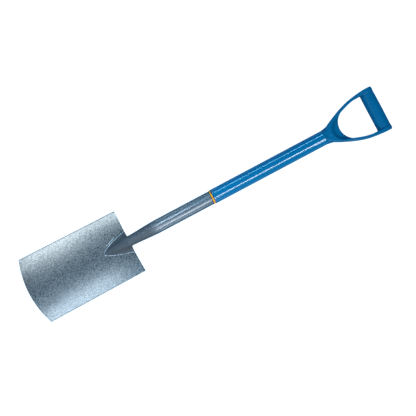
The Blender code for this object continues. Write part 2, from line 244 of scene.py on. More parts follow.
def turn(
    name: str,
    profile: Points,
    centre: Vector,
    axis: Vector,
    across: Vector,
    steps: int = 96,
) -> bpy.types.Object:
    """Spins a closed profile once round an axis.

    Args:
        name: The new object's name.
        profile: Points as (distance along the axis, radius).
        centre: The axis's start.
        axis: The axis's direction.
        across: The direction in which the radius is measured.
        steps: How many facets a turn has.

    Returns:
        The turned solid.
    """
    points = [centre + axis * along + across * radius for along, radius in profile]
    piece = start_section(name, points, "NOTHING")
    bpy.ops.mesh.spin(steps=steps, angle=2 * math.pi, center=centre, axis=axis, use_auto_merge=True)
    face_outwards()
    return piece


def blend(start: float, end: float, share: float) -> float:
    """A smooth step between two values.

    Args:
        start: The value up to share 0.
        end: The value from share 1.
        share: How far between them.

    Returns:
        The value at that share.
    """
    share = min(max(share, 0.0), 1.0)
    return start + (end - start) * share * share * (3 - 2 * share)


def smooth_line(points: Points, steps: int) -> list[tuple[float, float]]:
    """Rounds a row of points into a smooth line through them.

    Args:
        points: The points that the line passes through.
        steps: How many steps it takes between each two.

    Returns:
        The line's points.
    """
    given = [Vector(point) for point in points]
    ends = [2 * given[0] - given[1]] + given + [2 * given[-1] - given[-2]]
    line = []
    for before, start, end, after in zip(ends, ends[1:], ends[2:], ends[3:]):
        for i in range(steps):
            t = i / steps
            bend = (end - before) * t + (2 * before - 5 * start + 4 * end - after) * t**2
            line.append(tuple(start + (bend + (3 * start - before - 3 * end + after) * t**3) / 2))
    return line + [tuple(given[-1])]


def turns(points: int) -> list[tuple[float, float]]:
    """Evenly spaced directions once round.

    Args:
        points: How many directions.

    Returns:
        Each direction's cosine and sine.
    """
    angles = [2 * math.pi * i / points for i in range(points)]
    return [(math.cos(angle), math.sin(angle)) for angle in angles]


def quarter(steps: int) -> list[tuple[float, float]]:
    """Evenly spaced directions from 0 to 90 degrees.

    Args:
        steps: How many steps between them.

    Returns:
        Each direction's cosine and sine.
    """
    angles = [i / steps * math.pi / 2 for i in range(steps + 1)]
    return [(math.cos(angle), math.sin(angle)) for angle in angles]


def millimetres(points: Points) -> list[tuple[float, float]]:
    """Turns points given in millimetres into metres.

    Args:
        points: The points in millimetres.

    Returns:
        The points in metres.
    """
    return [(x * MM, y * MM) for x, y in points]


def hand_over(
    piece: bpy.types.Object, node: str, material: bpy.types.Material
) -> bpy.types.Object:
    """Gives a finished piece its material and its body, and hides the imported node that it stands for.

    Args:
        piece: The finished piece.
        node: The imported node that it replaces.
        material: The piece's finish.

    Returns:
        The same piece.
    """
    piece.data.materials.clear()
    piece.data.materials.append(material)
    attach(piece, "root")
    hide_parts(node)
    LOG.info("%s stands for %s: %d faces", piece.name, node, len(piece.data.polygons))
    return piece


# The plan: where everything is


@dataclass(frozen=True)
class Plan:
    """The spade's main places and sizes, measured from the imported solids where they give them."""

    shoulder: float
    heel: float
    shaft_height: float = 17 * MM
    lift: float = math.radians(15)
    blade_width: float = 146.6 * MM
    blade_side: float = 227 * MM
    blade_bow: float = 13 * MM
    blade_sheet: float = 2 * MM
    blade_dish: float = 11 * MM
    tube_radius: float = 15.2 * MM
    tube_wall: float = 1.5 * MM
    sleeve_radius: float = 16.25 * MM
    shoulder_from_heel: float = 483 * MM
    rivet_below_shoulder: float = 36 * MM
    shoulder_gap: float = 0.3 * MM
    foot_length: float = 59 * MM
    foot_half_width: float = 24.9 * MM
    foot_power: float = 0.6

    @classmethod
    def from_frame(cls) -> "Plan":
        """Reads the shoulder from the sleeve's far end, and the heel from the shoulder."""
        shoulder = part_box("shaft_sleeve")[1].x + cls.shoulder_gap
        return cls(shoulder=shoulder, heel=shoulder - cls.shoulder_from_heel)

    @property
    def axis(self) -> Vector:
        """A point on the shaft's axis."""
        return Vector((0, 0, self.shaft_height))

    @property
    def rivet_x(self) -> float:
        """The rivet's place along the shaft."""
        return self.shoulder - self.rivet_below_shoulder

    def dish_rise(self, y: float) -> float:
        """How far the dished sheet stands above its middle.

        Args:
            y: The distance from the centre line.

        Returns:
            The rise, square to the sheet.
        """
        half = self.blade_width / 2
        radius = (half**2 + self.blade_dish**2) / (2 * self.blade_dish)
        return radius - math.sqrt(radius**2 - y**2)

    def tip_reach(self, y: float) -> float:
        """The sheet's length at a distance across.

        Args:
            y: The distance from the centre line.

        Returns:
            The length from the top edge to the cutting edge.
        """
        half = self.blade_width / 2
        radius = (half**2 + self.blade_bow**2) / (2 * self.blade_bow)
        return self.blade_side + math.sqrt(radius**2 - y**2) - (radius - self.blade_bow)

    def blade_height(self, x: float, y: float) -> float:
        """The height of the blade's front face above the ground's point (x, y)."""
        heel_height = self.blade_sheet * math.cos(self.lift)
        return heel_height + (self.heel - x) * math.tan(self.lift) + self.dish_rise(y) / math.cos(self.lift)

    def foot_edge(self, share: float) -> float:
        """Half the V foot's width at a share of its length from the blade's top edge."""
        return self.foot_half_width * (1 - share) ** self.foot_power


# Finishes: the node groups that they share, and the materials


class Wiring:
    """A node tree with short calls that add nodes and join them."""

    def __init__(self, tree: bpy.types.NodeTree) -> None:
        """Keeps the tree to wire."""
        self.tree = tree

    def add(
        self, kind: str, inputs: dict[str | int, object] | None = None, **settings: object
    ) -> bpy.types.Node:
        """Adds a node, sets its properties, and sets or joins its inputs.

        Args:
            kind: The node's type.
            inputs: Input names or numbers, each with a value or with the output that feeds it.
            **settings: The node's own properties.

        Returns:
            The new node.
        """
        node = self.tree.nodes.new(kind)
        for name, value in settings.items():
            setattr(node, name, value)
        for name, value in (inputs or {}).items():
            if isinstance(value, bpy.types.NodeSocket):
                self.tree.links.new(value, node.inputs[name])
            else:
                node.inputs[name].default_value = value
        return node

    def math(self, operation: str, *values: object) -> bpy.types.NodeSocket:
        """Adds a Math node, with a number or an output for each input, and gives its output."""
        return self.add("ShaderNodeMath", dict(enumerate(values)), operation=operation).outputs[0]

    def vector(self, operation: str, first: object, second: object) -> bpy.types.NodeSocket:
        """Adds a Vector Math node and gives its output."""
        return self.add("ShaderNodeVectorMath", {0: first, 1: second}, operation=operation).outputs[0]

    def spread(
        self, value: object, low: float, high: float, to_low: float, to_high: float
    ) -> bpy.types.NodeSocket:
        """Adds a Map Range node that steps smoothly from to_low at low to to_high at high."""
        inputs = {"Value": value, "From Min": low, "From Max": high, "To Min": to_low, "To Max": to_high}
        return self.add("ShaderNodeMapRange", inputs, interpolation_type="SMOOTHSTEP").outputs["Result"]

    def mix(self, share: object, first: object, second: object) -> bpy.types.NodeSocket:
        """Adds a Mix node that goes from one colour to a second by a share, and gives its output."""
        return self.add("ShaderNodeMix", {0: share, 6: first, 7: second}, data_type="RGBA").outputs[2]

    def noise(self, vector: object, scale: object, detail: float = 2.0, rough: float = 0.5) -> bpy.types.Node:
        """Adds a Noise texture."""
        inputs = {"Vector": vector, "Scale": scale, "Detail": detail, "Roughness": rough}
        return self.add("ShaderNodeTexNoise", inputs)

    def cells(self, vector: object, scale: object, smoothness: float) -> bpy.types.NodeSocket:
        """Adds a Voronoi texture of soft cells and gives the distance to their middles."""
        inputs = {"Vector": vector, "Scale": scale, "Smoothness": smoothness}
        return self.add("ShaderNodeTexVoronoi", inputs, feature="SMOOTH_F1").outputs["Distance"]


@dataclass(frozen=True)
class SurfaceEffect:
    """A shader node group that several materials use, with named inputs and outputs."""

    name: str
    inputs: dict[str, float]
    outputs: tuple[str, ...]
    wire: Callable[[Wiring, bpy.types.Node], dict[str, bpy.types.NodeSocket]]

    def group(self) -> bpy.types.NodeTree:
        """Builds the group once, then gives the same one again."""
        found = bpy.data.node_groups.get(self.name)
        if found is not None:
            return found
        tree = bpy.data.node_groups.new(self.name, "ShaderNodeTree")
        tree.interface.new_socket("Vector", in_out="INPUT", socket_type="NodeSocketVector")
        for name, value in self.inputs.items():
            socket = tree.interface.new_socket(name, in_out="INPUT", socket_type="NodeSocketFloat")
            socket.default_value = value
        for name in self.outputs:
            tree.interface.new_socket(name, in_out="OUTPUT", socket_type="NodeSocketFloat")
        wiring = Wiring(tree)
        results = self.wire(wiring, wiring.add("NodeGroupInput"))
        wiring.add("NodeGroupOutput", dict(results))
        return tree

    def place(self, wiring: Wiring, vector: bpy.types.NodeSocket, **values: float) -> bpy.types.Node:
        """Places the group in a material, its inputs given by name with an underscore for a space."""
        inputs = {name.replace("_", " "): value for name, value in values.items()} | {"Vector": vector}
        return wiring.add("ShaderNodeGroup", inputs, node_tree=self.group())


def wire_hammer(wiring: Wiring, given: bpy.types.Node) -> dict[str, bpy.types.NodeSocket]:
    """The mottle of hammer paint: drawn-together cells with raised middles and thin low seams.

    Args:
        wiring: The group's wiring.
        given: The group's inputs.

    Returns:
        The outputs by name.
    """
    vector, cell = given.outputs["Vector"], given.outputs["Cell"]
    scale = wiring.math("DIVIDE", 1.0, cell)
    drift = wiring.noise(vector, wiring.math("MULTIPLY", scale, 0.45))
    centred = wiring.vector("SUBTRACT", drift.outputs["Color"], (0.5, 0.5, 0.5))
    reach = wiring.math("MULTIPLY", cell, given.outputs["Drift"])
    pull = wiring.add("ShaderNodeVectorMath", {0: centred, "Scale": reach}, operation="SCALE")
    moved = wiring.vector("ADD", vector, pull.outputs[0])
    height = wiring.spread(wiring.cells(moved, scale, 0.55), 0.12, 0.72, 1.0, 0.0)
    fine = wiring.noise(moved, wiring.math("MULTIPLY", scale, 1.5))
    speck = wiring.spread(fine.outputs["Fac"], 0.4, 0.6, 0.0, 1.0)
    mottle = wiring.math("MULTIPLY_ADD", speck, 0.45, wiring.math("MULTIPLY", height, 0.55))
    return {"Mottle": mottle, "Height": height}


def wire_handling(wiring: Wiring, given: bpy.types.Node) -> dict[str, bpy.types.NodeSocket]:
    """Marks of handling: fine scratches along the shaft and soft patches of duller surface.

    Args:
        wiring: The group's wiring.
        given: The group's inputs.

    Returns:
        The outputs by name.
    """
    vector = given.outputs["Vector"]
    stretched = wiring.vector("MULTIPLY", vector, (0.06, 1.0, 1.0))
    lines = wiring.noise(stretched, given.outputs["Line Scale"], 3.0, 0.6)
    patches = wiring.noise(vector, given.outputs["Patch Scale"], 3.0)
    scratches = wiring.spread(lines.outputs["Fac"], 0.66, 0.74, 0.0, 1.0)
    return {"Scratches": scratches, "Patches": wiring.spread(patches.outputs["Fac"], 0.35, 0.7, 0.0, 1.0)}


def wire_grain(wiring: Wiring, given: bpy.types.Node) -> dict[str, bpy.types.NodeSocket]:
    """The grain that a mould leaves on plastic: very fine dimples over a faint waviness.

    Args:
        wiring: The group's wiring.
        given: The group's inputs.

    Returns:
        The outputs by name.
    """
    vector = given.outputs["Vector"]
    dimples = wiring.cells(vector, given.outputs["Grain Scale"], 0.4)
    waves = wiring.noise(vector, given.outputs["Wave Scale"]).outputs["Fac"]
    fine = wiring.math("MULTIPLY", dimples, given.outputs["Grain"])
    height = wiring.math("MULTIPLY_ADD", waves, given.outputs["Wave"], fine)
    return {"Height": height, "Tone": wiring.spread(waves, 0.3, 0.7, 0.0, 1.0)}


def wire_ring_shade(wiring: Wiring, given: bpy.types.Node) -> dict[str, bpy.types.NodeSocket]:
    """A thin dark line painted round the shaft where two pieces meet: painted shade of the ring's edge and
    the gap beside it.

    Args:
        wiring: The group's wiring.
        given: The group's inputs.

    Returns:
        The outputs by name.
    """
    split = wiring.add("ShaderNodeSeparateXYZ", {"Vector": given.outputs["Vector"]})
    away = wiring.math("ABSOLUTE", wiring.math("SUBTRACT", split.outputs["X"], given.outputs["Place"]))
    share = wiring.math("DIVIDE", away, given.outputs["Reach"])
    ragged = wiring.noise(given.outputs["Vector"], 250.0)
    share = wiring.math("MULTIPLY_ADD", ragged.outputs["Fac"], 0.35, share)
    return {"Painted Shade": wiring.spread(share, 0.5, 1.15, 1.0, 0.0)}


HAMMER = SurfaceEffect("hammer_mottle", {"Cell": 3.4 * MM, "Drift": 0.9}, ("Mottle", "Height"), wire_hammer)
HANDLING = SurfaceEffect(
    "handling_marks", {"Line Scale": 900.0, "Patch Scale": 14.0}, ("Scratches", "Patches"), wire_handling
)
# Painted shade: a thin dark line round the shaft beside the ring, where its edge and gap would be shaded.
RING_SHADE = SurfaceEffect("painted_ring_shade", {"Place": 0.0, "Reach": 1.2 * MM}, ("Painted Shade",), wire_ring_shade)
GRAIN = SurfaceEffect(
    "mould_grain",
    {"Grain Scale": 1400.0, "Wave Scale": 60.0, "Grain": 0.5, "Wave": 1.0},
    ("Height", "Tone"),
    wire_grain,
)


def new_material(
    name: str, constants: dict[str, object]
) -> tuple[Wiring, bpy.types.Node, bpy.types.NodeSocket]:
    """Starts a material and sets the values that are the same all over its surface.

    Args:
        name: The material's name.
        constants: Inputs of the Principled shader by name.

    Returns:
        The material's wiring, its Principled shader and its Object coordinates.
    """
    material = bpy.data.materials.new(name)
    material.use_nodes = True
    wiring = Wiring(material.node_tree)
    shader = material.node_tree.nodes["Principled BSDF"]
    for socket, value in constants.items():
        shader.inputs[socket].default_value = value
    coordinates = wiring.add("ShaderNodeTexCoord").outputs["Object"]
    return wiring, shader, coordinates


def finish_material(
    wiring: Wiring,
    shader: bpy.types.Node,
    colour: bpy.types.NodeSocket,
    roughness: bpy.types.NodeSocket,
    height: bpy.types.NodeSocket,
    depth: float,
) -> bpy.types.Material:
    """Feeds a material's shader with its colour, its roughness and its relief.

    Args:
        wiring: The material's wiring.
        shader: Its Principled shader.
        colour: The output that gives its colour.
        roughness: The output that gives its roughness.
        height: The output that gives its relief, from 0 to 1.
        depth: The relief's depth.

    Returns:
        The material.
    """
    bump = wiring.add("ShaderNodeBump", {"Height": height, "Distance": depth, "Strength": 1.0})
    wiring.tree.links.new(colour, shader.inputs["Base Color"])
    wiring.tree.links.new(roughness, shader.inputs["Roughness"])
    wiring.tree.links.new(bump.outputs["Normal"], shader.inputs["Normal"])
    return next(material for material in bpy.data.materials if material.node_tree == wiring.tree)


# The dark tone painted over the neck and V foot as shade on their steep flanks.
PAINTED_NECK_SHADE: Colour = (0.036, 0.036, 0.038, 1)
# The dark colour that the painted shade lines are mixed towards.
PAINTED_SHADE: Colour = (0.006, 0.009, 0.014, 1)


@dataclass(frozen=True)
class WeldToeShade:
    """A dark line painted along the outer side of the two beads of the V foot: painted shade where each bead
    meets the blade.
    """

    plan: Plan
    start: float = 1.5 * MM
    end: float = 3.1 * MM
    soft: float = 0.8 * MM
    strength: float = 0.75

    def wire(self, wiring: Wiring, coordinates: bpy.types.NodeSocket) -> bpy.types.NodeSocket:
        """Wires the line's strength, from the distance to the foot's outline.

        Args:
            wiring: The material's wiring.
            coordinates: Its Object coordinates.

        Returns:
            The output that gives the strength.
        """
        plan = self.plan
        split = wiring.add("ShaderNodeSeparateXYZ", {"Vector": coordinates})
        back = wiring.math("SUBTRACT", plan.heel, split.outputs["X"])
        along = wiring.math("DIVIDE", back, plan.foot_length)
        left = wiring.math("MAXIMUM", wiring.math("SUBTRACT", 1.0, along), 0.0)
        edge = wiring.math("MULTIPLY", wiring.math("POWER", left, plan.foot_power), plan.foot_half_width)
        out = wiring.math("SUBTRACT", wiring.math("ABSOLUTE", split.outputs["Y"]), edge)
        risen = wiring.spread(out, self.start - self.soft, self.start, 0.0, 1.0)
        fallen = wiring.spread(out, self.end - self.soft, self.end, 1.0, 0.0)
        beside = wiring.spread(along, 0.9, 1.0, self.strength, 0.0)
        return wiring.math("MULTIPLY", wiring.math("MULTIPLY", risen, fallen), beside)


@dataclass(frozen=True)
class HammerPaint:
    """Hammer-finish paint: metal flake in a clear coat that draws together into small cells."""

    name: str
    low: Colour
    high: Colour
    cell: float = 2.8 * MM
    depth: float = 0.081 * MM
    roughness: float = 0.29
    metallic: float = 0.68
    coat: float = 0.8
    coat_roughness: float = 0.22
    mottle_dulling: float = 0.08
    patch_dulling: float = 0.05
    ring_shade: float | None = None
    toe_shade: WeldToeShade | None = None
    forged_end: float | None = None
    forged_fade: float = 30 * MM
    forged_dulling: float = 0.24
    forged_coat: float = 0.08
    neck_shade_share: float = 0.45

    def material(self) -> bpy.types.Material:
        """Builds the paint's material."""
        constants = {
            "Metallic": self.metallic,
            "Coat Weight": self.coat,
            "Coat Roughness": self.coat_roughness,
        }
        wiring, shader, coordinates = new_material(self.name, constants)
        mottle = HAMMER.place(wiring, coordinates, Cell=self.cell)
        marks = HANDLING.place(wiring, coordinates)
        colour = wiring.mix(mottle.outputs["Mottle"], self.low, self.high)
        # Painted shade beside the ring, mixed into the paint's colour.
        if self.ring_shade is not None:
            line = RING_SHADE.place(wiring, coordinates, Place=self.ring_shade)
            colour = wiring.mix(line.outputs["Painted Shade"], colour, PAINTED_SHADE)
        # Painted shade along the outer toe of each foot bead.
        if self.toe_shade is not None:
            colour = wiring.mix(self.toe_shade.wire(wiring, coordinates), colour, PAINTED_SHADE)
        dulled = wiring.math("MULTIPLY", marks.outputs["Patches"], self.patch_dulling)
        roughness = wiring.math("MULTIPLY_ADD", mottle.outputs["Mottle"], self.mottle_dulling, self.roughness)
        roughness = wiring.math("ADD", roughness, dulled)
        if self.forged_end is not None:
            place = wiring.add("ShaderNodeSeparateXYZ", {"Vector": coordinates}).outputs["X"]
            forged_and_shaded = wiring.spread(place, self.forged_end - self.forged_fade, self.forged_end, 1.0, 0.0)
            roughness = wiring.math("MULTIPLY_ADD", forged_and_shaded, self.forged_dulling, roughness)
            coat = wiring.math("MULTIPLY_ADD", forged_and_shaded, self.forged_coat - self.coat, self.coat)
            wiring.tree.links.new(coat, shader.inputs["Coat Weight"])
            # Painted shade: the neck and V foot darken towards the blade; only the duller roughness and
            # thinner coat belong to the surface.
            colour = wiring.mix(wiring.math("MULTIPLY", forged_and_shaded, self.neck_shade_share), colour, PAINTED_NECK_SHADE)
        return finish_material(wiring, shader, colour, roughness, mottle.outputs["Height"], self.depth)


@dataclass(frozen=True)
class MouldedPlastic:
    """Coloured plastic with the grain of its mould and faint marks of handling."""

    name: str
    colour: Colour
    shade: Colour
    scuff: Colour
    roughness: float
    specular: float = 0.5
    grain_scale: float = 1400.0
    depth: float = 0.02 * MM
    scuffing: float = 0.12
    scratch_scale: float = 1300.0
    patch_scale: float = 22.0
    patch_dulling: float = 0.04
    ring_shade: float | None = None

    def material(self) -> bpy.types.Material:
        """Builds the plastic's material."""
        wiring, shader, coordinates = new_material(self.name, {"Specular IOR Level": self.specular})
        grain = GRAIN.place(wiring, coordinates, Grain_Scale=self.grain_scale)
        scales = {"Line_Scale": self.scratch_scale, "Patch_Scale": self.patch_scale}
        marks = HANDLING.place(wiring, coordinates, **scales)
        toned = wiring.mix(grain.outputs["Tone"], self.colour, self.shade)
        share = wiring.math("MULTIPLY", marks.outputs["Scratches"], self.scuffing)
        colour = wiring.mix(share, toned, self.scuff)
        # Painted shade beside the ring, mixed into the plastic's colour.
        if self.ring_shade is not None:
            line = RING_SHADE.place(wiring, coordinates, Place=self.ring_shade)
            colour = wiring.mix(line.outputs["Painted Shade"], colour, PAINTED_SHADE)
        roughness = wiring.math("MULTIPLY_ADD", marks.outputs["Patches"], self.patch_dulling, self.roughness)
        roughness = wiring.math("MULTIPLY_ADD", marks.outputs["Scratches"], self.scuffing, roughness)
        return finish_material(wiring, shader, colour, roughness, grain.outputs["Height"], self.depth)


@dataclass(frozen=True)
class PlatedSteel:
    """Bare plated steel, faintly drawn and dulled in patches."""

    name: str
    colour: Colour
    dull: Colour
    roughness: float = 0.32
    scratch_scale: float = 2500.0
    scratch_depth: float = 0.02 * MM
    patch_scale: float = 300.0
    patch_dulling: float = 0.15

    def material(self) -> bpy.types.Material:
        """Builds the steel's material."""
        wiring, shader, coordinates = new_material(self.name, {"Metallic": 1.0})
        scales = {"Line_Scale": self.scratch_scale, "Patch_Scale": self.patch_scale}
        marks = HANDLING.place(wiring, coordinates, **scales)
        colour = wiring.mix(marks.outputs["Patches"], self.colour, self.dull)
        roughness = wiring.math("MULTIPLY_ADD", marks.outputs["Patches"], self.patch_dulling, self.roughness)
        height = marks.outputs["Scratches"]
        return finish_material(wiring, shader, colour, roughness, height, self.scratch_depth)


# The digging head: the blade and the weld beads that hold it


@dataclass
class DiggingHead:
    """The dished blade and its three welds.

    A lump of a foot weld is given by its share along the foot, and by how far out, how high and how
    large it is in millimetres.
    """

    plan: Plan
    paint: bpy.types.Material
    weld_paint: bpy.types.Material
    columns: int = 60
    rows: int = 90
    edge_round: float = 0.3 * MM
    edge_band: float = 0.5 * MM
    ground: float = 1.1 * MM
    back_share: float = 0.99
    bead_voxel: float = 0.25 * MM
    bead_run: tuple[float, float] = (0.015, 0.972)
    bead_out: float = 0.6 * MM
    bead_height: float = 1.4 * MM
    right_blobs: int = 44
    left_blobs: int = 60
    second_blobs: int = 22
    second_run: tuple[float, float] = (0.43, 0.33)
    second_out: float = 4.3 * MM
    second_height: float = 0.4 * MM
    heel_blobs: int = 15
    heel_half: float = 8 * MM
    heel_past: float = 1.4 * MM
    heel_height: float = 1.75 * MM
    right_lumps: tuple[tuple[float, ...], ...] = ((0.03, 0.9, 1.0, 1.9), (0.98, 1.2, 0.9, 1.8))
    left_lumps: tuple[tuple[float, ...], ...] = ((0.64, 2.5, -0.5, 1.5),)

    def build(self) -> list[bpy.types.Object]:
        """Models and finishes every piece of the head."""
        return [
            self.blade(),
            self.foot_weld("foot_weld_left", Side.LEFT),
            self.foot_weld("foot_weld_right", Side.RIGHT),
            self.heel_weld(),
        ]

    def blade(self) -> bpy.types.Object:
        """Presses a flat sheet into the dished blade, lifts it to its place and rounds its edges."""
        plan = self.plan
        clear_selection()
        bpy.ops.mesh.primitive_grid_add(x_subdivisions=self.rows, y_subdivisions=self.columns, size=2)
        piece = take_up("blade_sheet")
        bpy.ops.object.mode_set(mode="EDIT")
        bpy.ops.mesh.select_all(action="SELECT")
        bpy.ops.transform.resize(value=(plan.blade_side / 2, plan.blade_width / 2, 1))
        bpy.ops.transform.translate(value=(-plan.blade_side / 2, 0, 0))
        for column in range(self.columns + 1):
            self.press_column(piece, plan.blade_width * (column / self.columns - 0.5))
        face_outwards()
        verts, band = piece.data.vertices, self.edge_band
        sheet = len(verts)
        cutting = {vert.index for vert in verts if -vert.co.x > plan.tip_reach(vert.co.y) - band}
        piece.rotation_euler = (0, plan.lift, 0)
        piece.location = (plan.heel, 0, plan.blade_sheet * math.cos(plan.lift))
        pick(piece)
        bpy.ops.object.transform_apply(location=True, rotation=True, scale=True)
        offset = -1 if piece.data.polygons[0].normal.z > 0 else 1
        apply_modifier(piece, "SOLIDIFY", thickness=plan.blade_sheet, offset=offset, use_even_offset=True)
        self.grind(piece, sheet, cutting)
        sharp = {"limit_method": "ANGLE", "angle_limit": math.radians(50)}
        apply_modifier(piece, "BEVEL", width=self.edge_round, segments=2, **sharp)
        bpy.ops.object.mode_set(mode="EDIT")
        face_outwards()
        soften(piece, 50)
        apply_modifier(piece, "WEIGHTED_NORMAL", mode="FACE_AREA", weight=90, keep_sharp=True)
        return hand_over(piece, "blade", self.paint)

    def grind(self, piece: bpy.types.Object, sheet: int, cutting: set[int]) -> None:
        """Grinds the front of the cutting edge down and draws the back of the sheet's sides in a little.

        Args:
            piece: The sheet with its thickness.
            sheet: How many points its front has; they come before the back's.
            cutting: The front's points along the cutting edge.
        """
        pick(piece)
        bpy.ops.object.mode_set(mode="EDIT")
        bpy.ops.mesh.select_mode(type="VERT")
        choose(piece, lambda vert: vert.index in cutting)
        bpy.ops.transform.translate(value=(0, 0, -self.ground))
        choose(piece, lambda vert: vert.index >= sheet)
        bpy.ops.transform.resize(value=(1, self.back_share, 1), center_override=(0, 0, 0))
        bpy.ops.object.mode_set(mode="OBJECT")

    def press_column(self, piece: bpy.types.Object, y: float) -> None:
        """Stretches one column of the sheet to the cutting edge and raises it to the dish.

        Args:
            piece: The sheet in edit mode.
            y: The column's distance from the centre line.
        """
        near = self.plan.blade_width / self.columns / 4
        choose(piece, lambda vert: abs(vert.co.y - y) < near)
        stretch = self.plan.tip_reach(y) / self.plan.blade_side
        bpy.ops.transform.resize(value=(stretch, 1, 1), center_override=(0, y, 0))
        bpy.ops.transform.translate(value=(0, 0, self.plan.dish_rise(y)))

    def edge_point(self, share: float, side: Side, out: float, above: float) -> Vector:
        """A point beside the V foot's edge, where a weld bead runs.

        Args:
            share: The place along the foot, from the blade's top edge to its point.
            side: The side of the spade.
            out: The distance out from the foot's edge.
            above: The height above the blade.

        Returns:
            The point.
        """
        plan = self.plan
        power = plan.foot_power
        slope = plan.foot_half_width * power * (1 - share) ** (power - 1) / plan.foot_length
        square = 1 / math.sqrt(1 + slope**2)
        x = plan.heel - plan.foot_length * share - out * slope * square
        y = plan.foot_edge(share) + out * square
        return Vector((x, side.value * y, plan.blade_height(x, y) + above))

    def bead(self, name: str, blobs: Sequence[tuple[Vector, float]], node: str) -> bpy.types.Object:
        """Melts a row of overlapping blobs of metal into one weld bead.

        Args:
            name: The piece's name.
            blobs: The blobs' centres and radii.
            node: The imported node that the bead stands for.

        Returns:
            The finished bead.
        """
        clear_selection()
        first, radius = blobs[0]
        bpy.ops.mesh.primitive_ico_sphere_add(subdivisions=2, radius=radius, location=first)
        piece = take_up(name)
        pick(piece)
        bpy.ops.object.transform_apply(location=True, rotation=True, scale=True)
        bpy.ops.object.mode_set(mode="EDIT")
        for centre, radius in blobs[1:]:
            bpy.ops.mesh.primitive_ico_sphere_add(subdivisions=2, radius=radius, location=centre)
        bpy.ops.object.mode_set(mode="OBJECT")
        melt(piece, self.bead_voxel, 2)
        return hand_over(piece, node, self.weld_paint)

    def foot_weld(self, name: str, side: Side) -> bpy.types.Object:
        """Lays the bead along one edge of the V foot: neat on the left, lumpy on the right.

        Args:
            name: The piece's and its node's name.
            side: The side of the spade.

        Returns:
            The finished bead.
        """
        rng = random.Random(5 + side.value)
        lumpy = side is Side.RIGHT
        count = self.right_blobs if lumpy else self.left_blobs
        start, reach = self.bead_run
        blobs = []
        for i in range(count):
            share = start + reach * i / (count - 1)
            wobble = rng.uniform(-0.25, 0.25) * MM if lumpy else 0.0
            radius = (rng.uniform(1.0, 1.35) if lumpy else rng.uniform(0.88, 0.98)) * MM
            blobs.append((self.edge_point(share, side, self.bead_out + wobble, self.bead_height), radius))
        if not lumpy:
            start, reach = self.second_run
            for i in range(self.second_blobs):
                share = start + reach * i / (self.second_blobs - 1)
                centre = self.edge_point(share, side, self.second_out, self.second_height)
                blobs.append((centre, rng.uniform(0.98, 1.04) * MM))
        for share, out, above, radius in self.right_lumps if lumpy else self.left_lumps:
            blobs.append((self.edge_point(share, side, out * MM, above * MM), radius * MM))
        return self.bead(name + "_bead", blobs, name)

    def heel_weld(self) -> bpy.types.Object:
        """Lays the bead that closes the gap between the tube's back and the blade's top edge."""
        rng = random.Random(11)
        x = self.plan.heel + self.heel_past
        blobs = []
        for i in range(self.heel_blobs):
            y = self.heel_half * (2 * i / (self.heel_blobs - 1) - 1)
            height = self.heel_height + self.plan.dish_rise(y)
            blobs.append((Vector((x, y, height)), rng.uniform(1.35, 1.6) * MM))
        return self.bead("heel_weld_bead", blobs, "heel_weld")


# The shaft: the steel tube with its V foot, the ring and the sleeve


